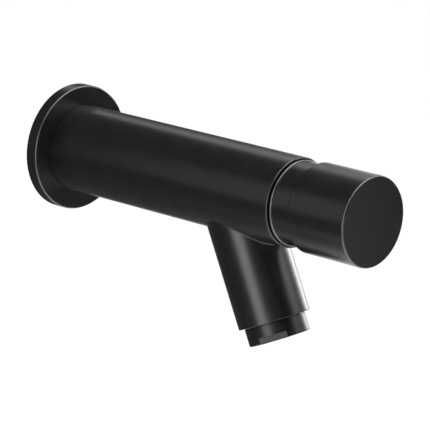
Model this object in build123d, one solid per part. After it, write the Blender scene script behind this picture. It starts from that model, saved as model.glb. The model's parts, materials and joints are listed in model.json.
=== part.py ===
from build123d import *
import math
import os

os.makedirs("parts", exist_ok=True)

# A push timed tap for a wall. Sizes are in millimetres. The wall is the plane y = 0 and the body stands out
# from it along -Y. Places on the body line are measured outwards from the wall, and places on the spout
# line outwards from the body's axis. Radii add up from the inlet's thread outwards to the body.

# Body with its fixed spout
body_wall_gap = 0.8
body_edge = 0.45
spout_place = 91.7
spout_to_body_end = 33.8
chamber_wall = 2.5
cavity_wall = 3.5
mouth_wall = 1.95
cavity_margin = 0.6
partition_length = 8.0
pilot_length = 5.5
spout_wall = 2.55
spout_tilt = 23.65
spout_reach = 55.05
spout_edge = 0.25
spout_fillet = 0.8
waterway_radius = 7.5

# Clearances and the overrun of every cut
slide_play = 0.05
seal_play = 0.02
seat_gap = 0.05
spring_gap = 0.15
overrun = 1.0

# Sides of a nut or a key hole, and of a ring of drilled holes
hexagon_sides = 6

# O-rings
o_ring_section = 1.8
slot_room = 0.4

# Wall flange, its gasket and its O-ring
flange_overhang = 8.0
flange_thickness = 5.4
flange_edge = 0.6
flange_play = 0.12
gasket_thickness = 1.2
gasket_inner_margin = 2.5
gasket_outer_margin = 1.4

# Inlet nipple with a G1/2 thread, and its washer
nipple_radius = 10.478
nipple_tail = 14.0
nipple_chamfer = 1.2
nipple_wall = 4.678
nipple_key_step = 0.2
nipple_key_depth = 8.0
nipple_relief_depth = 1.18
nipple_relief_length = 2.0
nipple_collar_step = 1.8
nipple_collar_thickness = 2.0
nipple_collar_gap = 0.7
nipple_inset = 1.5
washer_thickness = 1.5
washer_inner_play = 0.1

# Inlet plug, whose wall lies between the nipple's thread and the body's rear chamber
plug_wall = 5.022
plug_length = 12.0
plug_slot_from_front = 1.6
plug_key_width = 4.0
plug_key_depth = 2.0

# Cap, and the stroke that a push gives it
neck_gap = 10.5
cap_length = 27.9
cap_wall = 1.15
cap_face_thickness = 2.5
cap_edge = 0.6
stroke = 7.0
stop_gap = 0.3
hub_radius = 7.0
hub_length = 9.4
lock_nut_flats = 10.0
lock_nut_thickness = 5.0

# Retaining collar
lip_step = 0.9
lip_gap = 0.55
lip_width = 0.85
lip_round_share = 0.84
shadow_slot_drop = 0.6
shadow_slot_depth = 0.6
collar_wall = 3.5
cap_play = 0.25
collar_keys = 4
collar_key_width = 5.0
collar_key_depth = 3.0

# Guide ring of the cap, a split ring in a slot of the collar
guide_width = 3.0
guide_depth = 1.0
guide_from_front = 4.2
guide_split = 1.5

# Cartridge body with the valve seat and the gland
seat_depth = 4.0
seat_lip_height = 0.8
seat_lip_width = 1.0
seat_margin = 0.8
spigot_step = 1.4
spigot_length = 3.5
barrel_wall = 3.95
outlet_margin = 2.0
outlet_windows = 4
outlet_window_width = 7.0
outlet_window_margin = 1.5
web_length = 5.0
cartridge_rim_thickness = 2.5
partition_slot_margin = 0.6
pilot_slot_margin = 1.4
nose_play = 1.5
gland_ring_thickness = 2.0
bush_length = 8.0
gland_gap = 0.1
gland_washer_thickness = 0.8
circlip_thickness = 0.9
circlip_depth = 0.6
circlip_rim = 0.9
circlip_split = 2.6
nose_land = 1.2

# Stem
stem_radius = 3.0
stem_shoulder = 0.8
stem_tail_step = 0.2
stem_tail_spare = 1.0
stem_tip_gap = 0.4
stem_chamfer = 0.4
stem_step_inset = 0.5

# Valve on the stem
valve_washer_thickness = 3.0
valve_passage = 0.9
holder_wall = 0.65
holder_base = 2.0
holder_rim = 1.7
spacer_wall = 1.15
spacer_length = 10.5

# Timing piston with its lip seal
piston_play = 0.2
piston_length = 8.0
seal_slot_margin = 2.0
seal_slot_depth = 1.5
seal_lip = 0.45
seal_base = 1.3
seal_taper = 0.25
piston_nut_flats = 7.0
piston_nut_thickness = 3.2

# Timing cup, its bleed pin and its filter
cup_chamber_radius = 8.5
cup_wall = 2.5
cup_play = 0.2
cup_floor_thickness = 2.5
cup_chamfer = 1.0
inlet_windows = 6
inlet_window_width = 5.0
inlet_window_margin = 1.5
pin_radius = 0.38
pin_margin = 0.9
pin_reach = 0.5
filter_thickness = 0.55
filter_overlap = 2.0
filter_hole_radius = 0.7
filter_hole_rows = 5
filter_hole_columns = 10

# Return spring
spring_length = 19.4
spring_wire_radius = 0.6
spring_room = 1.2
spring_turns = 7

# Aerator at the spout's end
aerator_bore = 12.05
aerator_bore_depth = 12.1
aerator_gasket_thickness = 1.6
aerator_gasket_width = 4.2
aerator_wall = 1.6
aerator_rim_gap = 0.4
aerator_rim_step = 0.35
aerator_rim_length = 7.2
aerator_rim_edge = 0.5
aerator_back_edge = 0.25
aerator_lip_length = 2.3
aerator_lip_width = 0.9
aerator_flat_depth = 1.4
aerator_flat_height = 2.65
aerator_flat_turn = 147.4
screen_thickness = 0.8
screen_hole_radius = 0.75
screen_margin = 0.4
screen_rings = 4
restrictor_thickness = 2.5
restrictor_holes = 8
restrictor_hole_radius = 0.9
restrictor_hole_inset = 2.5
restrictor_rim = 2.35
restrictor_recess_depth = 0.8
insert_wall = 1.1
insert_plate = 4.0
insert_cell_radius = 1.2
insert_cell_margin = 0.5
insert_rings = 3

# The two lines that the pieces are turned about
tilt = math.radians(spout_tilt)
body_line = Plane(origin=(0, 0, 0), x_dir=(1, 0, 0), z_dir=(0, 0, -1))
spout_line = Plane(
    origin=(0, -spout_place, 0),
    x_dir=(1, 0, 0),
    z_dir=(0, math.cos(tilt), -math.sin(tilt)),
)

# Radii that follow from the sizes above
nipple_bore = nipple_radius - nipple_wall
chamber_radius = nipple_radius + plug_wall
body_radius = chamber_radius + chamber_wall
cavity_radius = body_radius - cavity_wall
mouth_radius = body_radius - mouth_wall
spout_radius = aerator_bore + spout_wall
o_ring_slot = o_ring_section + slot_room
flange_bore = body_radius + flange_play
flange_radius = body_radius + flange_overhang
gasket_inner = flange_bore + gasket_inner_margin
gasket_outer = flange_radius - gasket_outer_margin
nipple_collar_radius = nipple_radius + nipple_collar_step
cap_radius = body_radius
cap_bore = cap_radius - cap_wall
neck_radius = cap_bore - cap_play
lip_radius = body_radius - lip_step
lip_round = (lip_radius - neck_radius) * lip_round_share
collar_thread_radius = mouth_radius - slide_play
collar_bore = collar_thread_radius - collar_wall
guide_bottom = neck_radius - guide_depth

# Radii of the cartridge, from the timing chamber and from the stem outwards
cup_radius = cup_chamber_radius + cup_wall
partition_bore = cup_radius + cup_play
barrel_radius = partition_bore - slide_play
outlet_radius = barrel_radius - barrel_wall
spigot_radius = cup_radius - spigot_step
piston_radius = cup_chamber_radius - piston_play
seal_slot_radius = piston_radius - seal_slot_depth
pin_offset = seal_slot_radius - pin_margin
spring_radius = cup_chamber_radius - spring_room
holder_radius = cup_chamber_radius - valve_passage
valve_washer_radius = holder_radius - holder_wall - slide_play
seat_bore = valve_washer_radius - seat_margin - seat_lip_width
nose_radius = collar_bore - nose_play
gland_bore = stem_radius + gland_ring_thickness
stem_bore = stem_radius + slide_play
stem_step_radius = stem_radius - stem_shoulder
stem_tail_radius = stem_step_radius - stem_tail_step
step_bore = stem_step_radius + slide_play

# Places on the body line, from the wall outwards
body_end = spout_place + spout_to_body_end
spout_entry = spout_place + cavity_radius * math.tan(tilt)
entry_half_width = waterway_radius / math.cos(tilt)
cavity_back = spout_entry - entry_half_width - cavity_margin
cavity_front = spout_entry + entry_half_width + cavity_margin
partition_back = cavity_back - partition_length
shoulder = cavity_front + pilot_length
rim_front = shoulder + cartridge_rim_thickness
cap_back = body_end + neck_gap
cap_front = cap_back + cap_length
cap_inner_face = cap_front - cap_face_thickness
collar_front = cap_inner_face - stroke - stop_gap
lip_back = body_end + lip_gap
lip_front = lip_back + lip_width
hub_back = cap_inner_face - hub_length

# Places at the wall end
collar_back_of_nipple = nipple_collar_gap
collar_front_of_nipple = collar_back_of_nipple + nipple_collar_thickness
plug_back = collar_front_of_nipple + washer_thickness
plug_front = plug_back + plug_length
nipple_end = plug_front - nipple_inset
flange_slot_back = (gasket_thickness + flange_thickness - o_ring_slot) / 2

# Places of the valve and the timing piston, from the seat back to the cup's floor
seat_face = partition_back + seat_depth
washer_front = seat_face - seat_gap
washer_back = washer_front - valve_washer_thickness
holder_back = washer_back - holder_base
piston_front = holder_back - spacer_length
piston_back = piston_front - piston_length
stem_back = piston_back - piston_nut_thickness - stem_tail_spare
cup_floor = piston_back - spring_length
cup_back = cup_floor - cup_floor_thickness
spigot_back = partition_back - spigot_length

# Places in the gland, in front of the outlet windows
web_back = cavity_front - outlet_margin
web_front = web_back + web_length
gland_ring_length = gland_ring_thickness + gland_gap
bush_back = web_front + gland_ring_length
bush_front = bush_back + bush_length
gland_washer_back = bush_front + gland_ring_length
circlip_back = gland_washer_back + gland_washer_thickness
circlip_front = circlip_back + circlip_thickness
nose_front = circlip_front + nose_land

# Places on the spout line, from the body's axis outwards
aerator_seat = spout_reach - aerator_bore_depth
housing_back = aerator_seat + aerator_gasket_thickness
rim_back = spout_reach + aerator_rim_gap
rim_end = rim_back + aerator_rim_length
aerator_lip_back = rim_end - aerator_lip_length
restrictor_back = housing_back + screen_thickness
insert_back = restrictor_back + restrictor_thickness

# Radii of the aerator, from the bore in the spout inwards
aerator_thread_radius = aerator_bore - slide_play
aerator_rim_radius = aerator_bore + aerator_rim_step
aerator_inner_radius = aerator_thread_radius - aerator_wall
aerator_lip_radius = aerator_inner_radius - aerator_lip_width
insert_radius = aerator_inner_radius - slide_play
screen_hole_pitch = (insert_radius - screen_margin - screen_hole_radius) / screen_rings
insert_cell_pitch = (aerator_lip_radius - insert_cell_margin - insert_cell_radius) / insert_rings


# Shapes that several pieces share
def station(line, place):
    """The plane across a line at a place on it, facing outwards."""
    return Plane(origin=line.origin + line.y_dir * place, x_dir=line.x_dir, z_dir=line.y_dir)


def turned(line, *outline):
    """A solid turned about a line, from an outline of (radius, place) points."""
    half_section = make_face(Polyline(*outline, close=True))
    return revolve(line * half_section, Axis(line.origin, line.y_dir))


def rod(line, radius, start, end):
    """A plain round bar on a line."""
    return turned(line, (0, start), (radius, start), (radius, end), (0, end))


def ring(line, inner, outer, start, end):
    """A plain ring about a line."""
    return turned(line, (inner, start), (outer, start), (outer, end), (inner, end))


def o_ring(line, inner, outer, place):
    """An O-ring that fills the space between two round walls."""
    middle = (inner + outer) / 2
    thickness = (outer - inner) / 2 - seal_play
    return station(line, place) * Torus(middle, thickness)


def hexagon(line, flats, start, end):
    """A hexagonal bar, given the width across its flats."""
    outline = RegularPolygon(flats / 2, hexagon_sides, major_radius=False)
    return station(line, start) * extrude(outline, end - start)


def hex_nut(line, flats, bore, start, end):
    """A nut with a plain bore and both ends turned down at the corners."""
    corner = flats / 2 / math.cos(math.pi / hexagon_sides)
    drop = corner - flats / 2
    blank = turned(
        line,
        (bore, start),
        (flats / 2, start),
        (corner, start + drop / 2),
        (corner, end - drop / 2),
        (flats / 2, end),
        (bore, end),
    )
    return blank & hexagon(line, flats, start, end)


def cross_slots(line, count, width, inner, outer, start, end):
    """Cutters for slots or windows spread evenly around a line."""
    middle = station(line, (start + end) / 2)
    blank = Box(outer - inner, width, end - start)
    reach = (inner + outer) / 2
    cutters = []
    for number in range(count):
        cutters.append(middle * Rot(0, 0, number * 360 / count) * Pos(reach, 0, 0) * blank)
    return cutters


def ring_places(rings, pitch):
    """Places in hexagonal rings about a centre, a pitch apart."""
    places = [(0, 0)]
    for number in range(1, rings + 1):
        for corner in range(hexagon_sides):
            here = math.tau * corner / hexagon_sides
            there = math.tau * (corner + 1) / hexagon_sides
            for step in range(number):
                share = step / number
                x = (1 - share) * math.cos(here) + share * math.cos(there)
                y = (1 - share) * math.sin(here) + share * math.sin(there)
                places.append((x * number * pitch, y * number * pitch))
    return places


def softened(solid, line, place, radius, size):
    """The solid with the round edge of that radius at that place given a small fillet."""
    centre = line.origin + line.y_dir * place
    chosen = []
    for edge in solid.edges().filter_by(GeomType.CIRCLE):
        here = (edge.arc_center - centre).length < size
        if here and abs(edge.radius - radius) < size:
            chosen.append(edge)
    return fillet(chosen, size)


# Wall end
def make_wall_flange():
    slot_bottom = flange_bore + o_ring_section
    slot_front = flange_slot_back + o_ring_slot
    solid = turned(
        body_line,
        (flange_bore, 0),
        (gasket_inner, 0),
        (gasket_inner, gasket_thickness),
        (gasket_outer, gasket_thickness),
        (gasket_outer, 0),
        (flange_radius, 0),
        (flange_radius, flange_thickness),
        (flange_bore, flange_thickness),
        (flange_bore, slot_front),
        (slot_bottom, slot_front),
        (slot_bottom, flange_slot_back),
        (flange_bore, flange_slot_back),
    )
    return softened(solid, body_line, flange_thickness, flange_radius, flange_edge)


def make_flange_gasket():
    inner = gasket_inner + slide_play
    outer = gasket_outer - slide_play
    return ring(body_line, inner, outer, 0, gasket_thickness)


def make_flange_o_ring():
    slot_bottom = flange_bore + o_ring_section
    return o_ring(body_line, body_radius, slot_bottom, flange_slot_back + o_ring_slot / 2)


def make_inlet_nipple():
    relief_back = collar_back_of_nipple - nipple_relief_length
    relief_radius = nipple_radius - nipple_relief_depth
    solid = turned(
        body_line,
        (nipple_bore, -nipple_tail),
        (nipple_radius - nipple_chamfer, -nipple_tail),
        (nipple_radius, nipple_chamfer - nipple_tail),
        (nipple_radius, relief_back),
        (relief_radius, relief_back),
        (relief_radius, collar_back_of_nipple),
        (nipple_collar_radius, collar_back_of_nipple),
        (nipple_collar_radius, collar_front_of_nipple),
        (nipple_radius, collar_front_of_nipple),
        (nipple_radius, nipple_end - nipple_chamfer),
        (nipple_radius - nipple_chamfer, nipple_end),
        (nipple_bore, nipple_end),
    )
    key_end = nipple_key_depth - nipple_tail
    key_flats = (nipple_bore + nipple_key_step) * 2
    return solid - hexagon(body_line, key_flats, -nipple_tail - overrun, key_end)


def make_nipple_washer():
    inner = nipple_radius + washer_inner_play
    return ring(body_line, inner, nipple_collar_radius, collar_front_of_nipple, plug_back)


def make_inlet_plug():
    outer = chamber_radius - slide_play
    slot_front = plug_front - plug_slot_from_front
    slot_back = slot_front - o_ring_slot
    slot_bottom = chamber_radius - o_ring_section
    bore = nipple_radius + slide_play
    solid = turned(
        body_line,
        (bore, plug_back),
        (outer, plug_back),
        (outer, slot_back),
        (slot_bottom, slot_back),
        (slot_bottom, slot_front),
        (outer, slot_front),
        (outer, plug_front),
        (bore, plug_front),
    )
    start = plug_back - overrun
    end = plug_back + plug_key_depth
    reach = outer + overrun
    for cutter in cross_slots(body_line, 2, plug_key_width, nipple_collar_radius, reach, start, end):
        solid -= cutter
    return solid


def make_plug_o_ring():
    middle = plug_front - plug_slot_from_front - o_ring_slot / 2
    return o_ring(body_line, chamber_radius - o_ring_section, chamber_radius, middle)


# Body
def make_tap_body():
    outside = rod(body_line, body_radius, body_wall_gap, body_end)
    outside += rod(spout_line, spout_radius, 0, spout_reach)
    seam = outside.edges().filter_by(lambda edge: edge.geom_type not in (GeomType.CIRCLE, GeomType.LINE))
    outside = fillet(seam, spout_fillet)
    outside = softened(outside, body_line, body_end, body_radius, body_edge)
    outside = softened(outside, spout_line, spout_reach, spout_radius, spout_edge)
    body_hollow = turned(
        body_line,
        (0, body_wall_gap - overrun),
        (chamber_radius, body_wall_gap - overrun),
        (chamber_radius, partition_back),
        (partition_bore, partition_back),
        (partition_bore, cavity_back),
        (cavity_radius, cavity_back),
        (cavity_radius, shoulder),
        (mouth_radius, shoulder),
        (mouth_radius, body_end + overrun),
        (0, body_end + overrun),
    )
    spout_hollow = turned(
        spout_line,
        (0, 0),
        (waterway_radius, 0),
        (waterway_radius, aerator_seat),
        (aerator_bore, aerator_seat),
        (aerator_bore, spout_reach + overrun),
        (0, spout_reach + overrun),
    )
    return outside - body_hollow - spout_hollow


def make_retaining_collar():
    slot_radius = collar_thread_radius - shadow_slot_drop
    guide_front = collar_front - guide_from_front
    guide_back = guide_front - guide_width
    solid = turned(
        body_line,
        (collar_bore, rim_front),
        (collar_thread_radius, rim_front),
        (collar_thread_radius, body_end - shadow_slot_depth),
        (slot_radius, body_end - shadow_slot_depth),
        (slot_radius, lip_back),
        (lip_radius, lip_back),
        (lip_radius, lip_front),
        (neck_radius, lip_front),
        (neck_radius, guide_back),
        (guide_bottom, guide_back),
        (guide_bottom, guide_front),
        (neck_radius, guide_front),
        (neck_radius, collar_front),
        (collar_bore, collar_front),
    )
    solid = softened(solid, body_line, lip_front, lip_radius, lip_round)
    start = collar_front - collar_key_depth
    end = collar_front + overrun
    inner = collar_bore - overrun
    outer = neck_radius + overrun
    for cutter in cross_slots(body_line, collar_keys, collar_key_width, inner, outer, start, end):
        solid -= cutter
    return solid


def make_cap_guide_ring():
    front = collar_front - guide_from_front - slide_play
    back = front - guide_width + slide_play * 2
    inner = guide_bottom + slide_play
    outer = cap_bore - slide_play
    solid = ring(body_line, inner, outer, back, front)
    start = back - overrun
    end = front + overrun
    for cutter in cross_slots(body_line, 1, guide_split, inner - overrun, outer + overrun, start, end):
        solid -= cutter
    return solid


# Fixed part of the timing cartridge
def make_cartridge_body():
    pilot = cavity_radius - slide_play
    barrel_slot = partition_bore - o_ring_section
    barrel_slot_front = cavity_back - partition_slot_margin
    barrel_slot_back = barrel_slot_front - o_ring_slot
    pilot_slot = cavity_radius - o_ring_section
    pilot_slot_back = cavity_front + pilot_slot_margin
    pilot_slot_front = pilot_slot_back + o_ring_slot
    seat_floor = seat_face + seat_lip_height
    solid = turned(
        body_line,
        (cup_chamber_radius, spigot_back),
        (spigot_radius, spigot_back),
        (spigot_radius, partition_back),
        (barrel_radius, partition_back),
        (barrel_radius, barrel_slot_back),
        (barrel_slot, barrel_slot_back),
        (barrel_slot, barrel_slot_front),
        (barrel_radius, barrel_slot_front),
        (barrel_radius, cavity_front),
        (pilot, cavity_front),
        (pilot, pilot_slot_back),
        (pilot_slot, pilot_slot_back),
        (pilot_slot, pilot_slot_front),
        (pilot, pilot_slot_front),
        (pilot, shoulder),
        (collar_thread_radius, shoulder),
        (collar_thread_radius, rim_front),
        (nose_radius, rim_front),
        (nose_radius, nose_front),
        (gland_bore, nose_front),
        (gland_bore, circlip_front),
        (gland_bore + circlip_depth, circlip_front),
        (gland_bore + circlip_depth, circlip_back),
        (gland_bore, circlip_back),
        (gland_bore, web_front),
        (stem_bore, web_front),
        (stem_bore, web_back),
        (outlet_radius, web_back),
        (outlet_radius, cavity_back),
        (seat_bore, cavity_back),
        (seat_bore, seat_face),
        (seat_bore + seat_lip_width, seat_face),
        (seat_bore + seat_lip_width, seat_floor),
        (cup_chamber_radius, seat_floor),
    )
    start = cavity_back + outlet_window_margin
    end = web_back - outlet_window_margin
    reach = barrel_radius + overrun
    for cutter in cross_slots(body_line, outlet_windows, outlet_window_width, 0, reach, start, end):
        solid -= cutter
    return solid


def make_partition_o_ring():
    middle = cavity_back - partition_slot_margin - o_ring_slot / 2
    return o_ring(body_line, partition_bore - o_ring_section, partition_bore, middle)


def make_pilot_o_ring():
    middle = cavity_front + pilot_slot_margin + o_ring_slot / 2
    return o_ring(body_line, cavity_radius - o_ring_section, cavity_radius, middle)


def make_timing_cup():
    spigot_hole = spigot_radius + slide_play
    solid = turned(
        body_line,
        (0, cup_back),
        (cup_radius - cup_chamfer, cup_back),
        (cup_radius, cup_back + cup_chamfer),
        (cup_radius, partition_back),
        (spigot_hole, partition_back),
        (spigot_hole, spigot_back),
        (cup_chamber_radius, spigot_back),
        (cup_chamber_radius, cup_floor),
        (0, cup_floor),
    )
    start = piston_front + inlet_window_margin
    end = spigot_back
    reach = cup_radius + overrun
    for cutter in cross_slots(body_line, inlet_windows, inlet_window_width, 0, reach, start, end):
        solid -= cutter
    return solid - beside_stem(pin_radius + slide_play, cup_back - overrun, cup_floor + overrun)


def beside_stem(radius, start, end):
    """A thin bar beside the stem, where the bleed pin runs."""
    bar = Cylinder(radius, end - start, align=(Align.CENTER, Align.CENTER, Align.MIN))
    return station(body_line, start) * Pos(pin_offset, 0, 0) * bar


def make_bleed_pin():
    return beside_stem(pin_radius, cup_back, piston_front + pin_reach)


def make_inlet_filter():
    inner = cup_radius + slide_play
    outer = inner + filter_thickness
    start = piston_front - filter_overlap
    solid = ring(body_line, inner, outer, start, partition_back)
    row_pitch = (partition_back - start) / (filter_hole_rows + 1)
    drill = Cylinder(filter_hole_radius, (outer + overrun) * 2)
    for row in range(filter_hole_rows):
        middle = station(body_line, start + row_pitch * (row + 1))
        for column in range(filter_hole_columns):
            turn = 180 * (column + row % 2 / 2) / filter_hole_columns
            solid -= middle * Rot(0, 0, turn) * Rot(0, 90, 0) * drill
    return solid


def make_guide_bush():
    return ring(body_line, stem_bore, gland_bore - slide_play, bush_back, bush_front)


def make_rear_stem_o_ring():
    return o_ring(body_line, stem_radius, gland_bore, web_front + gland_ring_length / 2)


def make_front_stem_o_ring():
    return o_ring(body_line, stem_radius, gland_bore, bush_front + gland_ring_length / 2)


def make_gland_washer():
    return ring(body_line, stem_bore, gland_bore - slide_play, gland_washer_back, circlip_back)


def make_gland_circlip():
    outer = gland_bore + circlip_depth - slide_play
    inner = gland_bore - circlip_rim
    solid = ring(body_line, inner, outer, circlip_back, circlip_front - slide_play)
    start = circlip_back - overrun
    end = circlip_front + overrun
    for cutter in cross_slots(body_line, 1, circlip_split, stem_radius, outer + overrun, start, end):
        solid -= cutter
    return solid


# Moving part of the timing cartridge
def make_push_cap():
    solid = turned(
        body_line,
        (cap_bore, cap_back),
        (cap_radius, cap_back),
        (cap_radius, cap_front),
        (0, cap_front),
        (0, cap_inner_face),
        (stem_bore, cap_inner_face),
        (stem_bore, hub_back),
        (hub_radius, hub_back),
        (hub_radius, cap_inner_face),
        (cap_bore, cap_inner_face),
    )
    solid = softened(solid, body_line, cap_front, cap_radius, cap_edge)
    return softened(solid, body_line, cap_back, cap_radius, body_edge)


def make_stem():
    end = cap_inner_face - stem_tip_gap
    step_back = piston_back + stem_step_inset
    return turned(
        body_line,
        (0, stem_back),
        (stem_tail_radius - stem_chamfer, stem_back),
        (stem_tail_radius, stem_back + stem_chamfer),
        (stem_tail_radius, step_back),
        (stem_step_radius, step_back),
        (stem_step_radius, washer_front),
        (stem_radius, washer_front),
        (stem_radius, end - stem_chamfer),
        (stem_radius - stem_chamfer, end),
        (0, end),
    )


def make_cap_lock_nut():
    start = hub_back - lock_nut_thickness
    return hex_nut(body_line, lock_nut_flats, stem_bore, start, hub_back)


def make_valve_washer():
    return ring(body_line, step_bore, valve_washer_radius, washer_back, washer_front)


def make_valve_holder():
    rim_inner = valve_washer_radius + slide_play
    rim_end = washer_back + holder_rim
    return turned(
        body_line,
        (step_bore, holder_back),
        (holder_radius, holder_back),
        (holder_radius, rim_end),
        (rim_inner, rim_end),
        (rim_inner, washer_back),
        (step_bore, washer_back),
    )


def make_spacer_sleeve():
    return ring(body_line, step_bore, step_bore + spacer_wall, piston_front, holder_back)


def make_piston():
    slot_back = piston_back + seal_slot_margin
    slot_front = piston_front - seal_slot_margin
    solid = turned(
        body_line,
        (step_bore, piston_back),
        (piston_radius, piston_back),
        (piston_radius, slot_back),
        (seal_slot_radius, slot_back),
        (seal_slot_radius, slot_front),
        (piston_radius, slot_front),
        (piston_radius, piston_front),
        (step_bore, piston_front),
    )
    return solid - beside_stem(pin_radius + slide_play, piston_back - overrun, piston_front + overrun)


def make_lip_seal():
    back = piston_back + seal_slot_margin + slide_play
    front = piston_front - seal_slot_margin - slide_play
    inner = seal_slot_radius + slide_play
    outer = cup_chamber_radius - slide_play
    middle = (inner + outer) / 2
    return turned(
        body_line,
        (inner, back),
        (outer - seal_taper, back),
        (outer, front),
        (outer - seal_lip, front),
        (middle, back + seal_base),
        (inner + seal_lip, front),
        (inner, front),
    )


def make_piston_nut():
    start = piston_back - piston_nut_thickness
    return hex_nut(body_line, piston_nut_flats, stem_tail_radius + slide_play, start, piston_back)


def make_return_spring():
    start = cup_floor + spring_gap + spring_wire_radius
    height = spring_length - spring_gap * 2 - spring_wire_radius * 2
    coil = Helix(pitch=height / spring_turns, height=height, radius=spring_radius)
    wire = Plane(origin=coil @ 0, z_dir=coil % 0) * Circle(spring_wire_radius)
    return station(body_line, start) * sweep(wire, path=coil, is_frenet=True)


# Aerator
def make_aerator_gasket():
    inner = aerator_bore - aerator_gasket_width
    return ring(spout_line, inner, aerator_thread_radius, aerator_seat, housing_back)


def make_aerator_housing():
    solid = turned(
        spout_line,
        (aerator_inner_radius, housing_back),
        (aerator_thread_radius, housing_back),
        (aerator_thread_radius, rim_back),
        (aerator_rim_radius, rim_back),
        (aerator_rim_radius, rim_end),
        (aerator_lip_radius, rim_end),
        (aerator_lip_radius, aerator_lip_back),
        (aerator_inner_radius, aerator_lip_back),
    )
    solid = softened(solid, spout_line, rim_back, aerator_rim_radius, aerator_back_edge)
    solid = softened(solid, spout_line, rim_end, aerator_rim_radius, aerator_rim_edge)
    middle = station(spout_line, rim_end - aerator_flat_height / 2)
    depth = aerator_flat_depth + overrun
    reach = aerator_rim_radius - aerator_flat_depth + depth / 2
    blank = Box(depth, aerator_rim_radius * 2, aerator_flat_height)
    for turn in (aerator_flat_turn, aerator_flat_turn + 180):
        solid -= middle * Rot(0, 0, turn) * Pos(reach, 0, 0) * blank
    return solid


def make_aerator_screen():
    solid = rod(spout_line, insert_radius, housing_back, restrictor_back)
    holes = (screen_hole_radius, screen_rings, screen_hole_pitch)
    return drilled(solid, housing_back, restrictor_back, *holes)


def drilled(solid, start, end, radius, rings, pitch):
    """The solid with rings of small round holes through it along the spout."""
    base = station(spout_line, start - overrun)
    length = end - start + overrun * 2
    drill = Cylinder(radius, length, align=(Align.CENTER, Align.CENTER, Align.MIN))
    drills = []
    for x, y in ring_places(rings, pitch):
        drills.append(base * Pos(x, y, 0) * drill)
    return solid - drills


def make_flow_restrictor():
    recess_radius = insert_radius - restrictor_rim
    recess_end = restrictor_back + restrictor_recess_depth
    recess = rod(spout_line, recess_radius, restrictor_back - overrun, recess_end)
    solid = rod(spout_line, insert_radius, restrictor_back, insert_back) - recess
    base = station(spout_line, restrictor_back)
    drill = Cylinder(restrictor_hole_radius, restrictor_thickness * 2 + overrun)
    for place in PolarLocations(recess_radius - restrictor_hole_inset, restrictor_holes):
        solid -= base * place * drill
    return solid


def make_aerator_insert():
    plate_back = aerator_lip_back - insert_plate
    solid = turned(
        spout_line,
        (0, plate_back),
        (insert_radius - insert_wall, plate_back),
        (insert_radius - insert_wall, insert_back),
        (insert_radius, insert_back),
        (insert_radius, aerator_lip_back),
        (0, aerator_lip_back),
    )
    cells = (insert_cell_radius, insert_rings, insert_cell_pitch)
    return drilled(solid, plate_back, aerator_lip_back, *cells)


pieces = {
    "wall_flange": make_wall_flange,
    "flange_gasket": make_flange_gasket,
    "flange_o_ring": make_flange_o_ring,
    "inlet_nipple": make_inlet_nipple,
    "nipple_washer": make_nipple_washer,
    "inlet_plug": make_inlet_plug,
    "plug_o_ring": make_plug_o_ring,
    "tap_body": make_tap_body,
    "retaining_collar": make_retaining_collar,
    "cap_guide_ring": make_cap_guide_ring,
    "cartridge_body": make_cartridge_body,
    "partition_o_ring": make_partition_o_ring,
    "pilot_o_ring": make_pilot_o_ring,
    "timing_cup": make_timing_cup,
    "bleed_pin": make_bleed_pin,
    "inlet_filter": make_inlet_filter,
    "guide_bush": make_guide_bush,
    "rear_stem_o_ring": make_rear_stem_o_ring,
    "front_stem_o_ring": make_front_stem_o_ring,
    "gland_washer": make_gland_washer,
    "gland_circlip": make_gland_circlip,
    "push_cap": make_push_cap,
    "stem": make_stem,
    "cap_lock_nut": make_cap_lock_nut,
    "valve_washer": make_valve_washer,
    "valve_holder": make_valve_holder,
    "spacer_sleeve": make_spacer_sleeve,
    "piston": make_piston,
    "lip_seal": make_lip_seal,
    "piston_nut": make_piston_nut,
    "return_spring": make_return_spring,
    "aerator_gasket": make_aerator_gasket,
    "aerator_screen": make_aerator_screen,
    "flow_restrictor": make_flow_restrictor,
    "aerator_insert": make_aerator_insert,
    "aerator_housing": make_aerator_housing,
}

for name, make_piece in pieces.items():
    export_step(make_piece(), f"parts/{name}.step")
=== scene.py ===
# %% [markdown]
# # A push timed tap in satin black
#
# A push timed tap stands out of a wall. A push on its round cap moves a stem and a small piston, water runs from
# the short spout, and the tap closes by itself while a chamber behind the piston fills again. The engineering
# model already holds every piece at its real size, so this lesson is about looks: one camera, one soft studio,
# one finish for each kind of material, and two pieces whose real shape only a mesh shows well.

# %% Load the engineering model
import json
import math

import bpy
from mathutils import Matrix, Vector


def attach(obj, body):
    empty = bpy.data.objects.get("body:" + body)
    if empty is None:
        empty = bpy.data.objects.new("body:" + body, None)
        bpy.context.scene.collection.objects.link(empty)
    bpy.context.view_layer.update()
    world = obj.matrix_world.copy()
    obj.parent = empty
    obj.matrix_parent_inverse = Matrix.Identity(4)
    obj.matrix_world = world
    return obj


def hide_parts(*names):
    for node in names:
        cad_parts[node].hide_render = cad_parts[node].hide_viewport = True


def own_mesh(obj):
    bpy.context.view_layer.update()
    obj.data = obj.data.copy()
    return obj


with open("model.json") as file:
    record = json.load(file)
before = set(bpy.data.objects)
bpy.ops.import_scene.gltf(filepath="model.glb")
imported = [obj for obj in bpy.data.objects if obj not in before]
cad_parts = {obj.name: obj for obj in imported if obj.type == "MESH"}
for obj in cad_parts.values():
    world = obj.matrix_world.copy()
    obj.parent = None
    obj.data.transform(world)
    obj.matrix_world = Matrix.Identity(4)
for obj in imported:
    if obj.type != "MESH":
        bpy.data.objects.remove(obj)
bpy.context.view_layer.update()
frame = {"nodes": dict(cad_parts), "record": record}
print("pieces in the model:", len(frame["nodes"]))

# %% [markdown]
# ## The camera
#
# A product picture like this one is taken with a long lens from a metre or so away, because a long lens keeps
# round pieces round. The camera stands at the tap's front left, a little above it, and it is level. Those few
# numbers are enough, so the camera is set from two angles and a distance and not from a matrix that nobody
# could read.

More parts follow.
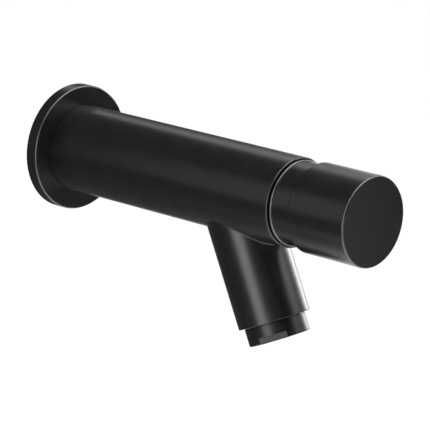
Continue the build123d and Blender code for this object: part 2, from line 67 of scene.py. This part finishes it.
# %% Camera
MM = 0.001
PICTURE_SIDE = 430
FOCAL_PIXELS = 2767.6
SENSOR_WIDTH = 36.0
VIEW_AZIMUTH = math.radians(-46.71)
VIEW_ELEVATION = math.radians(16.51)
VIEW_DISTANCE = 1103.4 * MM
VIEW_TARGET = Vector((-0.06, -81.68, -13.79)) * MM


def direction(azimuth, elevation):
    """A unit vector out of the tap, with azimuth 0 straight in front of it and 90 degrees to its right."""
    flat = math.cos(elevation)
    return Vector((math.sin(azimuth) * flat, -math.cos(azimuth) * flat, math.sin(elevation)))


def add_camera():
    back = direction(VIEW_AZIMUTH, VIEW_ELEVATION)
    right = Vector((math.cos(VIEW_AZIMUTH), math.sin(VIEW_AZIMUTH), 0.0))
    up = back.cross(right)
    data = bpy.data.cameras.new("picture_camera")
    data.sensor_width = SENSOR_WIDTH
    data.lens = SENSOR_WIDTH * FOCAL_PIXELS / PICTURE_SIDE
    camera = bpy.data.objects.new("picture_camera", data)
    camera.matrix_world = Matrix((right, up, back)).transposed().to_4x4()
    camera.location = VIEW_TARGET + back * VIEW_DISTANCE
    bpy.context.scene.collection.objects.link(camera)
    bpy.context.scene.camera = camera
    return camera


camera = add_camera()
print("lens:", round(camera.data.lens, 1), "mm")

# %% [markdown]
# ## Small helpers for materials
#
# Every finish here is a node tree made in code. A tree is easier to follow when the lines that add and wire a
# node are short, so five helpers come first. All patterns use object coordinates, which are metres in this
# model, so a grain size can be given as a real size. Noise seldom goes below 0.3 or above 0.7, so that range is
# what gets spread over the values or the colours of a finish.

# %% Node helpers
NOISE_LOW = 0.3
NOISE_HIGH = 0.7


def start_finish(name):
    """A new material with its tree, its shader and an object coordinate source."""
    finish = bpy.data.materials.new(name)
    finish.use_nodes = True
    tree = finish.node_tree
    shader = tree.nodes["Principled BSDF"]
    place = tree.nodes.new("ShaderNodeTexCoord")
    return finish, tree, shader, place.outputs["Object"]


def add_noise(tree, place, grain, detail=2.0, stretch=None):
    """Noise whose blobs measure about grain metres, drawn out along an axis where stretch says so."""
    noise = tree.nodes.new("ShaderNodeTexNoise")
    noise.inputs["Scale"].default_value = 1.0 / grain
    noise.inputs["Detail"].default_value = detail
    if stretch is None:
        tree.links.new(place, noise.inputs["Vector"])
        return noise.outputs["Fac"]
    mapping = tree.nodes.new("ShaderNodeMapping")
    mapping.inputs["Scale"].default_value = stretch
    tree.links.new(place, mapping.inputs["Vector"])
    tree.links.new(mapping.outputs["Vector"], noise.inputs["Vector"])
    return noise.outputs["Fac"]


def spread_value(tree, source, low, high, socket):
    """The source spread over low to high on a shader's socket."""
    spread = tree.nodes.new("ShaderNodeMapRange")
    spread.inputs["From Min"].default_value = NOISE_LOW
    spread.inputs["From Max"].default_value = NOISE_HIGH
    spread.inputs["To Min"].default_value = low
    spread.inputs["To Max"].default_value = high
    tree.links.new(source, spread.inputs["Value"])
    tree.links.new(spread.outputs["Result"], socket)


def spread_colour(tree, source, dark, light, socket):
    """The source spread over two colours."""
    ramp = tree.nodes.new("ShaderNodeValToRGB")
    ramp.color_ramp.elements[0].position = NOISE_LOW
    ramp.color_ramp.elements[1].position = NOISE_HIGH
    ramp.color_ramp.elements[0].color = (*dark, 1.0)
    ramp.color_ramp.elements[1].color = (*light, 1.0)
    tree.links.new(source, ramp.inputs["Fac"])
    tree.links.new(ramp.outputs["Color"], socket)


def add_relief(tree, source, depth, shader):
    """A fine relief of a real depth in metres."""
    bump = tree.nodes.new("ShaderNodeBump")
    bump.inputs["Distance"].default_value = depth
    tree.links.new(source, bump.inputs["Height"])
    tree.links.new(bump.outputs["Normal"], shader.inputs["Normal"])


# %% [markdown]
# ## The rubbed edges
#
# Hands and cloths rub the outer edges of a coat first. There it is smoother and mirrors more, which draws the thin
# light lines round the flange, the collar and the cap. An edge mask could be painted or taken from the mesh, but
# these edges are all circles round the body's line, so the distance to each one is easy to work out from the
# object coordinates, and it stays right however the pieces are meshed.

# %% Rubbed edges
# radius of the circle, how far it is from the wall, both in mm, and the shine on it
EDGE_CIRCLES = {
    "flange front": (26.0, 5.4, 0.56),
    "body end": (18.0, 125.5, 0.36),
    "collar lip": (17.1, 126.9, 0.80),
    "cap front": (18.0, 163.9, 0.60),
}
EDGE_NEAR = 0.30 * MM
EDGE_FAR = 0.65 * MM


def add_radius_and_place(tree, place):
    """A vector of the distance from the body's line, and where along that line."""
    across = tree.nodes.new("ShaderNodeVectorMath")
    across.operation = "MULTIPLY"
    across.inputs[1].default_value = (1.0, 0.0, 1.0)
    tree.links.new(place, across.inputs[0])
    radius = tree.nodes.new("ShaderNodeVectorMath")
    radius.operation = "LENGTH"
    tree.links.new(across.outputs["Vector"], radius.inputs[0])
    along = tree.nodes.new("ShaderNodeSeparateXYZ")
    tree.links.new(place, along.inputs["Vector"])
    spot = tree.nodes.new("ShaderNodeCombineXYZ")
    tree.links.new(radius.outputs["Value"], spot.inputs["X"])
    tree.links.new(along.outputs["Y"], spot.inputs["Y"])
    return spot.outputs["Vector"]


def rub_edges(tree, place, shader, shine):
    """More shine than elsewhere near each edge circle."""
    spot = add_radius_and_place(tree, place)
    most = None
    for circle_radius, from_wall, edge_shine in EDGE_CIRCLES.values():
        gap = tree.nodes.new("ShaderNodeVectorMath")
        gap.operation = "DISTANCE"
        gap.inputs[1].default_value = (circle_radius * MM, -from_wall * MM, 0.0)
        tree.links.new(spot, gap.inputs[0])
        spread = tree.nodes.new("ShaderNodeMapRange")
        spread.inputs["From Min"].default_value = EDGE_NEAR
        spread.inputs["From Max"].default_value = EDGE_FAR
        spread.inputs["To Min"].default_value = edge_shine
        spread.inputs["To Max"].default_value = shine
        tree.links.new(gap.outputs["Value"], spread.inputs["Value"])
        larger = tree.nodes.new("ShaderNodeMath")
        larger.operation = "MAXIMUM"
        larger.inputs[1].default_value = shine
        tree.links.new(spread.outputs["Result"], larger.inputs[0])
        if most is not None:
            tree.links.new(most, larger.inputs[1])
        most = larger.outputs[0]
    tree.links.new(most, shader.inputs["Specular IOR Level"])


# %% [markdown]
# ## The black coat
#
# The real tap is brass under a thin satin black coat. Seen from a metre away the coat is very dark and even,
# and what shows is how softly it mirrors the white room: bright at a grazing angle, dark head on. Close up it
# has a fine grain, like very fine orange peel. A plain dark colour with a medium roughness would look like
# plastic, so the grain goes into the relief and a slower noise moves the roughness a little. The colour itself is
# nearly black, and so hard a coat mirrors more than a plastic does. Its index of 2 alone would be too much, so the
# shine is turned down until the bands of light look right.
#
# The aerator's housing is plated and not coated. It looks the same but a little duller, and nobody rubs it.

# %% Black coat
COAT_GRAIN = 0.45 * MM
COAT_RELIEF = 0.004 * MM
COAT_CLOUD = 9.0 * MM
COAT_IOR = 2.0
COAT_DARK = (0.0045, 0.0045, 0.0045)
COAT_LIGHT = (0.0055, 0.0055, 0.0055)
COAT_UNEVEN = 0.02


def make_black_coat(name, roughness, shine, rubbed):
    finish, tree, shader, place = start_finish(name)
    grain = add_noise(tree, place, COAT_GRAIN, detail=3.0)
    cloud = add_noise(tree, place, COAT_CLOUD)
    spread_colour(tree, cloud, COAT_DARK, COAT_LIGHT, shader.inputs["Base Color"])
    spread_value(tree, cloud, roughness - COAT_UNEVEN, roughness + COAT_UNEVEN, shader.inputs["Roughness"])
    add_relief(tree, grain, COAT_RELIEF, shader)
    shader.inputs["IOR"].default_value = COAT_IOR
    shader.inputs["Specular IOR Level"].default_value = shine
    if rubbed:
        rub_edges(tree, place, shader, shine)
    print(name, "has", len(tree.nodes), "nodes")
    return finish


black_coat = make_black_coat("satin_black_coat", roughness=0.30, shine=0.27, rubbed=True)
black_trim = make_black_coat("satin_black_trim", roughness=0.33, shine=0.22, rubbed=False)

# %% [markdown]
# ## Bare metal
#
# The inlet and the cartridge are turned brass, and the small parts are stainless steel. Turning leaves rings
# round the axis, so the noise is squeezed along the body's axis and stays long across it. The spring's and the
# pin's drawn wire gets the same finish, because at their size nobody can tell the rings from drawing marks.

# %% Turned metals
TURNING_GRAIN = 0.9 * MM
TURNING_RELIEF = 0.004 * MM
STAIN_GRAIN = 10.8 * MM
ALONG_BODY = (0.25, 7.0, 0.25)
RINGS_SMOOTHER = 0.05
RINGS_ROUGHER = 0.07
BRASS = ((0.66, 0.50, 0.25), (0.72, 0.56, 0.30))
STEEL = ((0.55, 0.55, 0.56), (0.66, 0.66, 0.66))


def make_turned_metal(name, dark, light, roughness):
    finish, tree, shader, place = start_finish(name)
    rings = add_noise(tree, place, TURNING_GRAIN, detail=4.0, stretch=ALONG_BODY)
    stain = add_noise(tree, place, STAIN_GRAIN, detail=3.0)
    spread_colour(tree, stain, dark, light, shader.inputs["Base Color"])
    spread_value(tree, rings, roughness - RINGS_SMOOTHER, roughness + RINGS_ROUGHER, shader.inputs["Roughness"])
    add_relief(tree, rings, TURNING_RELIEF, shader)
    shader.inputs["Metallic"].default_value = 1.0
    print(name, "has", len(tree.nodes), "nodes")
    return finish


turned_brass = make_turned_metal("turned_brass", *BRASS, roughness=0.30)
turned_steel = make_turned_metal("turned_stainless", *STEEL, roughness=0.26)

# %% [markdown]
# ## Rubber, acetal and fibre
#
# Seals are matt rubber with a light bloom on them. The cartridge's moulded pieces are acetal, a dense white
# plastic that lets a little light in, and the aerator's insert is the same plastic in dark grey. The washer on
# the inlet is pressed red fibre, which shows short flecks.

# %% Rubber
RUBBER_GRAIN = 0.7 * MM
RUBBER_BLOOM = 4.2 * MM
RUBBER_RELIEF = 0.012 * MM
RUBBER_ROUGHNESS = (0.55, 0.72)
RUBBER = ((0.012, 0.012, 0.012), (0.022, 0.022, 0.021))


def make_rubber():
    finish, tree, shader, place = start_finish("nitrile_rubber")
    bloom = add_noise(tree, place, RUBBER_BLOOM, detail=3.0)
    grain = add_noise(tree, place, RUBBER_GRAIN)
    spread_colour(tree, bloom, *RUBBER, shader.inputs["Base Color"])
    spread_value(tree, bloom, *RUBBER_ROUGHNESS, shader.inputs["Roughness"])
    add_relief(tree, grain, RUBBER_RELIEF, shader)
    return finish


rubber = make_rubber()
print(rubber.name, "has", len(rubber.node_tree.nodes), "nodes")

# %% Acetal
MOULD_GRAIN = 0.35 * MM
MOULD_CLOUD = 7.0 * MM
MOULD_RELIEF = 0.004 * MM
MOULD_ROUGHNESS = (0.36, 0.46)
GLOW_DEPTH = 1.0 * MM
WHITE = ((0.74, 0.74, 0.70), (0.82, 0.82, 0.79))
GREY = ((0.020, 0.020, 0.022), (0.028, 0.028, 0.030))


def make_acetal(name, dark, light, glow):
    finish, tree, shader, place = start_finish(name)
    cloud = add_noise(tree, place, MOULD_CLOUD)
    grain = add_noise(tree, place, MOULD_GRAIN)
    spread_colour(tree, cloud, dark, light, shader.inputs["Base Color"])
    spread_value(tree, grain, *MOULD_ROUGHNESS, shader.inputs["Roughness"])
    add_relief(tree, grain, MOULD_RELIEF, shader)
    shader.inputs["Subsurface Weight"].default_value = glow
    shader.inputs["Subsurface Scale"].default_value = GLOW_DEPTH
    print(name, "has", len(tree.nodes), "nodes")
    return finish


white_acetal = make_acetal("white_acetal", *WHITE, glow=0.15)
grey_acetal = make_acetal("grey_acetal", *GREY, glow=0.0)

# %% Pressed fibre
FIBRE_FLECKS = 0.5 * MM
FIBRE_RELIEF = 0.012 * MM
FIBRE_ROUGHNESS = (0.6, 0.8)
FLECK_STRETCH = (1.0, 1.0, 0.2)
FIBRE_RED = ((0.22, 0.035, 0.02), (0.42, 0.10, 0.06))


def make_fibre():
    finish, tree, shader, place = start_finish("red_fibre")
    flecks = add_noise(tree, place, FIBRE_FLECKS, detail=5.0, stretch=FLECK_STRETCH)
    spread_colour(tree, flecks, *FIBRE_RED, shader.inputs["Base Color"])
    spread_value(tree, flecks, *FIBRE_ROUGHNESS, shader.inputs["Roughness"])
    add_relief(tree, flecks, FIBRE_RELIEF, shader)
    return finish


red_fibre = make_fibre()
print(red_fibre.name, "has", len(red_fibre.node_tree.nodes), "nodes")

# %% [markdown]
# ## Each piece gets its finish
#
# The record of the engineering model says which slot each piece belongs to. One table from slot to finish is
# all that is needed, and the two pieces that are made further down are dressed by the same table.

# %% Dress the pieces
FINISHES = {
    "black_coat": black_coat,
    "black_trim": black_trim,
    "bare_brass": turned_brass,
    "stainless": turned_steel,
    "black_rubber": rubber,
    "white_acetal": white_acetal,
    "grey_acetal": grey_acetal,
    "red_fibre": red_fibre,
}
slot_of_piece = {row["node"]: row["material_slot"] for row in frame["record"]["subparts"]}


def dress(piece, slot_name):
    """Give a piece the finish of its slot, in place of whatever it came with."""
    piece.data.materials.clear()
    piece.data.materials.append(FINISHES[slot_name])


for name, piece in frame["nodes"].items():
    dress(piece, slot_of_piece[name])
print("pieces dressed:", len(slot_of_piece))

# %% [markdown]
# ## The inlet's thread
#
# The nipple at the back screws into the wall outlet. Its G1/2 thread is a helix with 14 turns to the inch, which
# the engineering model keeps as a plain bar. A thread could be a screw modifier on a small outline, but then its
# run-out at both ends is a mess to close. Here the nipple is a stack of rings instead: each ring's radius
# comes from how far round and how far along it is, so the helix, the chamfers, the groove beside the collar and
# the hexagonal key hole all come out of one grid of points.

# %% Thread and key hole
# lengths here and in the next cells are millimetres, as they would stand on a drawing
NIPPLE_RADIUS = 10.478
THREAD_PITCH = 1.814
THREAD_DEPTH = 1.162
THREAD_ROUNDING = 0.45
KEY_FLATS = 12.0
KEY_SIDES = 6


def thread_radius(turn, place):
    """The rounded thread's radius at a share of a turn and a place along the body's line."""
    phase = (place / THREAD_PITCH + turn) % 1.0
    wave = 2.0 * abs(2.0 * phase - 1.0) - 1.0
    rounded = math.sin(wave * math.pi / 2) * THREAD_ROUNDING + wave * (1.0 - THREAD_ROUNDING)
    return NIPPLE_RADIUS - THREAD_DEPTH * (0.5 - 0.5 * rounded)


def key_radius(turn):
    """The hexagonal key hole's radius at a share of a turn."""
    side = (turn * KEY_SIDES) % 1.0 - 0.5
    return KEY_FLATS / 2 / math.cos(side * math.tau / KEY_SIDES)


print("thread from", round(thread_radius(0.5, 0.0), 3), "to", round(thread_radius(0.0, 0.0), 3), "mm radius")

# %% Rings of the nipple
NIPPLE_TAIL = 14.0
NIPPLE_CHAMFER = 1.2
NIPPLE_BORE = 5.8
# the plain groove and the collar, each by where it starts, where it ends and its radius
NIPPLE_RELIEF = (-1.3, 0.7, 9.298)
NIPPLE_COLLAR = (0.7, 2.7, 12.278)
NIPPLE_END = 14.7
KEY_END = -6.0
THREAD_STEP = 0.13


def plain_ring(place, radius):
    return place, lambda turn: radius


def threaded_ring(place, limit):
    return place, lambda turn: min(limit, thread_radius(turn, place))


def nipple_rings():
    """Every ring of the nipple as (place, radius at each share of a turn), round its outline."""
    relief_start, relief_end, relief_radius = NIPPLE_RELIEF
    collar_start, collar_end, collar_radius = NIPPLE_COLLAR
    chamfer_radius = NIPPLE_RADIUS - NIPPLE_CHAMFER
    rings = [plain_ring(-NIPPLE_TAIL, chamfer_radius)]
    place = -NIPPLE_TAIL + THREAD_STEP
    while place < relief_start:
        rings.append(threaded_ring(place, chamfer_radius + place + NIPPLE_TAIL))
        place += THREAD_STEP
    rings += [plain_ring(relief_start, relief_radius), plain_ring(relief_end, relief_radius)]
    rings += [plain_ring(collar_start, collar_radius), plain_ring(collar_end, collar_radius)]
    rings.append(plain_ring(collar_end, NIPPLE_RADIUS - THREAD_DEPTH))
    place = collar_end + THREAD_STEP
    while place < NIPPLE_END:
        rings.append(threaded_ring(place, chamfer_radius + NIPPLE_END - place))
        place += THREAD_STEP
    rings += [plain_ring(NIPPLE_END, chamfer_radius), plain_ring(NIPPLE_END, NIPPLE_BORE)]
    rings += [plain_ring(KEY_END, NIPPLE_BORE), (KEY_END, key_radius), (-NIPPLE_TAIL, key_radius)]
    return rings


print("rings of the nipple:", len(nipple_rings()))

# %% [markdown]
# ## From points to a piece
#
# Both pieces that are made here, the nipple and the spring, are lists of points and faces in millimetres. One
# helper turns such lists into a piece of the tap: it sets the finish, hides the node of the model that the piece
# stands for, hangs it on the body it rides on, and keeps turned corners sharp while the rest is shaded smooth.

# %% A mesh piece
SHARP_ANGLE = math.radians(38)


def make_mesh_piece(name, points, faces, body, slot_name, stands_for):
    """A mesh piece that takes the place of a node, with its finish, its body and its sharp edges."""
    mesh = bpy.data.meshes.new(name)
    mesh.from_pydata([Vector(point) * MM for point in points], [], faces)
    mesh.validate()
    mesh.shade_smooth()
    mesh.set_sharp_from_angle(angle=SHARP_ANGLE)
    piece = bpy.data.objects.new(name, mesh)
    bpy.context.scene.collection.objects.link(piece)
    dress(piece, slot_name)
    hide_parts(stands_for)
    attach(piece, body)
    print(name, "has", len(mesh.vertices), "points")
    return piece


# %% [markdown]
# ## The nipple goes in
#
# The rings run round the nipple's outline, from its back over the outside to the front and through the bore to
# the back again. The last ring is joined to the first, so the mesh is closed without a cap of its own.

# %% Inlet nipple
AROUND = 96


def add_nipple():
    rings = nipple_rings()
    points = []
    for place, radius_at in rings:
        for number in range(AROUND):
            turn = number / AROUND
            radius = radius_at(turn)
            angle = math.tau * turn
            points.append((radius * math.cos(angle), -place, radius * math.sin(angle)))
    faces = []
    for ring in range(len(rings)):
        here = ring * AROUND
        there = (ring + 1) % len(rings) * AROUND
        for number in range(AROUND):
            beside = (number + 1) % AROUND
            faces.append((here + number, here + beside, there + beside, there + number))
    make_mesh_piece("threaded_nipple", points, faces, "root", "bare_brass", "inlet_nipple")


add_nipple()

# %% [markdown]
# ## The return spring
#
# A compression spring for such a tap is wound from stainless wire, its last turns at both ends lie close
# together, and the ends are ground flat so that it stands straight. The wire is a small ring of points that is
# carried along a helix, and the helix climbs slowly in the end turns. When the cap is pushed, the piston
# squeezes the spring towards the cup's floor.

# %% Climb of the wire
SPRING_FLOOR = 42.312
SPRING_TOP = 61.712
SPRING_ROOM = 0.15
WIRE_RADIUS = 0.6
OPEN_TURNS = 5.0
END_TURNS = 1.0
END_CLIMB = 1.236


def spring_climb(turns):
    """The wire's height over the first wire, after a number of turns: slow, then even, then slow again."""
    length = SPRING_TOP - SPRING_FLOOR - 2 * (SPRING_ROOM + WIRE_RADIUS)
    even = (length - 2 * END_CLIMB * END_TURNS) / OPEN_TURNS
    low = min(turns, END_TURNS) * END_CLIMB
    middle = min(max(turns - END_TURNS, 0.0), OPEN_TURNS) * even
    return low + middle + max(turns - END_TURNS - OPEN_TURNS, 0.0) * END_CLIMB


print("the open turns climb", round(spring_climb(END_TURNS + 1.0) - spring_climb(END_TURNS), 2), "mm each")

# %% Return spring
SPRING_RADIUS = 7.3
TURN_STEPS = 40
WIRE_SIDES = 12


def spring_points(total, steps):
    """The rings of the wire, pressed flat where they reach the ground ends."""
    low = SPRING_FLOOR + SPRING_ROOM
    high = SPRING_TOP - SPRING_ROOM
    points = []
    for step in range(steps + 1):
        turns = total * step / steps
        angle = math.tau * turns
        place = low + WIRE_RADIUS + spring_climb(turns)
        for side in range(WIRE_SIDES):
            around = math.tau * side / WIRE_SIDES
            reach = SPRING_RADIUS + WIRE_RADIUS * math.cos(around)
            along = min(max(place + WIRE_RADIUS * math.sin(around), low), high)
            points.append((reach * math.cos(angle), -along, reach * math.sin(angle)))
    return points


def add_spring():
    total = OPEN_TURNS + 2 * END_TURNS
    steps = int(total * TURN_STEPS)
    faces = []
    for step in range(steps):
        for side in range(WIRE_SIDES):
            here = step * WIRE_SIDES
            beside = (side + 1) % WIRE_SIDES
            faces.append((here + side, here + WIRE_SIDES + side, here + WIRE_SIDES + beside, here + beside))
    faces.append(tuple(range(WIRE_SIDES)))
    faces.append(tuple(steps * WIRE_SIDES + side for side in reversed(range(WIRE_SIDES))))
    points = spring_points(total, steps)
    spring = make_mesh_piece("wound_spring", points, faces, "root", "stainless", "return_spring")
    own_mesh(spring)


add_spring()

# %% [markdown]
# ## The floor
#
# The picture has a pure white ground and no shadow in view. A floor well below the tap gives that: along the
# camera's line the floor comes two metres behind the tap, so the tap's own shadow falls out of the picture, and
# other views still find it there. The floor is stage, which means that it isn't part of the tap.

# %% Floor
FLOOR_DROP = 0.60
FLOOR_SIZE = 16.0


def add_floor():
    half = FLOOR_SIZE / 2
    mesh = bpy.data.meshes.new("floor")
    corners = [(-half, -half, 0), (half, -half, 0), (half, half, 0), (-half, half, 0)]
    mesh.from_pydata(corners, [], [(0, 1, 2, 3)])
    floor = bpy.data.objects.new("floor", mesh)
    floor.location = (0.0, 0.0, -FLOOR_DROP)
    bpy.context.scene.collection.objects.link(floor)
    return floor


floor = add_floor()
print("the floor lies", FLOOR_DROP, "m below the tap's line")

# %% [markdown]
# ## A white ground and a white room
#
# White could come from more light, but then the tap would be too bright as well. Instead the floor adds a little
# light of its own, and the room looks brighter, for the rays that show the ground alone: the camera's own rays,
# mirrored ones and those through glass. What lights the tap stays as it is, and so does the shadow on the floor.

# %% Ground and room
FLOOR_PALE = (0.82, 0.82, 0.82, 1.0)
FLOOR_ROUGHNESS = 0.9
GROUND_LIFT = 0.54
ROOM_LIGHT = 0.55
WHITE_LIGHT = (1.0, 1.0, 1.0, 1.0)


def seen_rays(tree):
    """1 for the rays that show the ground, and 0 for those that light the tap."""
    path = tree.nodes.new("ShaderNodeLightPath")
    most = path.outputs["Is Camera Ray"]
    for kind in ("Is Glossy Ray", "Is Transmission Ray"):
        larger = tree.nodes.new("ShaderNodeMath")
        larger.operation = "MAXIMUM"
        tree.links.new(most, larger.inputs[0])
        tree.links.new(path.outputs[kind], larger.inputs[1])
        most = larger.outputs[0]
    return most


def make_ground():
    finish, tree, shader, place = start_finish("pale_ground")
    shader.inputs["Base Color"].default_value = FLOOR_PALE
    shader.inputs["Roughness"].default_value = FLOOR_ROUGHNESS
    shader.inputs["Specular IOR Level"].default_value = 0.0
    lift = tree.nodes.new("ShaderNodeMath")
    lift.operation = "MULTIPLY"
    lift.inputs[1].default_value = GROUND_LIFT
    tree.links.new(seen_rays(tree), lift.inputs[0])
    shader.inputs["Emission Color"].default_value = WHITE_LIGHT
    tree.links.new(lift.outputs[0], shader.inputs["Emission Strength"])
    return finish


def make_room():
    world = bpy.data.worlds.new("white_room")
    world.use_nodes = True
    tree = world.node_tree
    backdrop = tree.nodes["Background"]
    strength = tree.nodes.new("ShaderNodeMapRange")
    strength.inputs["To Min"].default_value = ROOM_LIGHT
    strength.inputs["To Max"].default_value = 1.0
    tree.links.new(seen_rays(tree), strength.inputs["Value"])
    tree.links.new(strength.outputs["Result"], backdrop.inputs["Strength"])
    backdrop.inputs["Color"].default_value = WHITE_LIGHT
    bpy.context.scene.world = world


floor.data.materials.append(make_ground())
make_room()
bpy.context.scene.view_settings.view_transform = "Standard"
print("the room lights the tap at", ROOM_LIGHT, "and looks white")

# %% [markdown]
# ## The lamps
#
# On a black tap the lamps show as soft bands along the round pieces, so a photographer sets softboxes where a
# band is wanted. A softbox is an area lamp here, given by its direction from the tap, and its power is worked out
# from how bright its face should look, because that is what the coat mirrors. The long box overhead draws the
# light lines on the round edges.
#
# Room and lamps are kept at a plain level together: a grey card in the tap's place comes out about as grey as it
# is. A black coat tempts one to turn the lamps up until it shows, but then every other colour clips.

# %% Lamps
TAP_MIDDLE = Vector((0.0, -0.08, -0.01))
# azimuth and elevation in degrees, distance, width and height in metres, and how bright the face looks
SOFTBOXES = {
    "left_softbox": (-80.0, 8.0, 0.75, 0.32, 0.84, 2.1),
    "right_softbox": (42.0, 29.0, 1.2, 0.60, 0.70, 1.6),
    "rim_softbox": (91.0, 4.0, 1.2, 0.50, 0.56, 6.0),
    "top_softbox": (0.0, 74.0, 0.9, 1.5, 0.22, 4.8),
    "fill_softbox": (-122.0, 21.0, 0.40, 0.16, 0.30, 0.45),
}


def face_the_tap(thing, azimuth, elevation, distance):
    """Put a lamp or a flag in a direction from the tap, with its face turned to it."""
    aim = direction(math.radians(azimuth), math.radians(elevation))
    thing.location = TAP_MIDDLE + aim * distance
    thing.rotation_euler = (-aim).to_track_quat("-Z", "Y").to_euler()
    thing.visible_camera = False
    bpy.context.scene.collection.objects.link(thing)


def add_softbox(name, azimuth, elevation, distance, width, height, brightness):
    """An area lamp whose face looks as bright as asked, where 1 is white."""
    data = bpy.data.lights.new(name, "AREA")
    data.shape = "RECTANGLE"
    data.size = width
    data.size_y = height
    data.energy = brightness * math.pi * width * height
    lamp = bpy.data.objects.new(name, data)
    face_the_tap(lamp, azimuth, elevation, distance)
    print(name, "has", round(data.energy, 1), "W")


for name, numbers in SOFTBOXES.items():
    add_softbox(name, *numbers)

# %% [markdown]
# ## The flags
#
# Where a black tap should stay dark, a photographer hangs cloth, called a flag, so that the tap mirrors the cloth
# and not the white room. The black flags keep the cap's face, the flange's face and the spout's middle dark, and
# the grey ones stand behind the tap, where the room would wash out the body. Only mirrored rays meet a flag, so
# no camera sees one and none throws a shadow.

# %% Flags
# azimuth and elevation in degrees, distance, width and height in metres
BLACK_FLAGS = {
    "tall_flag": (-26.0, 26.0, 1.4, 2.30, 0.95),
    "low_flag": (24.0, 2.0, 1.4, 2.40, 0.72),
    "face_flag": (64.0, -24.0, 0.63, 0.50, 0.42),
    "front_flag": (-48.0, -19.0, 1.2, 0.90, 0.50),
}
GREY_FLAGS = {
    "wall_flag": (-150.0, 16.0, 0.9, 2.80, 2.60),
    "far_flag": (141.0, 8.0, 1.4, 0.66, 0.66),
    "left_flag": (-134.0, -19.0, 0.8, 0.80, 0.34),
    "low_wall_flag": (-173.0, -38.5, 0.5, 0.72, 0.34),
}
BLACK_CLOTH = ((0.01, 0.01, 0.01), (0.02, 0.02, 0.02))
GREY_CLOTH = ((0.09, 0.09, 0.09), (0.12, 0.12, 0.12))
CLOTH_NAP = 4.0 * MM


def make_cloth(name, dark, light):
    finish, tree, shader, place = start_finish(name)
    nap = add_noise(tree, place, CLOTH_NAP)
    spread_colour(tree, nap, dark, light, shader.inputs["Base Color"])
    shader.inputs["Roughness"].default_value = 1.0
    shader.inputs["Specular IOR Level"].default_value = 0.0
    return finish


def add_flag(name, cloth, azimuth, elevation, distance, width, height):
    """A sheet of cloth that mirrored rays alone meet."""
    mesh = bpy.data.meshes.new(name)
    corners = [(x * width / 2, y * height / 2, 0) for x, y in ((-1, -1), (1, -1), (1, 1), (-1, 1))]
    mesh.from_pydata(corners, [], [(0, 1, 2, 3)])
    mesh.materials.append(cloth)
    flag = bpy.data.objects.new(name, mesh)
    face_the_tap(flag, azimuth, elevation, distance)
    flag.visible_diffuse = False
    flag.visible_shadow = False


black_cloth = make_cloth("black_cloth", *BLACK_CLOTH)
grey_cloth = make_cloth("grey_cloth", *GREY_CLOTH)
for name, numbers in BLACK_FLAGS.items():
    add_flag(name, black_cloth, *numbers)
for name, numbers in GREY_FLAGS.items():
    add_flag(name, grey_cloth, *numbers)
print("flags hung:", len(BLACK_FLAGS) + len(GREY_FLAGS))
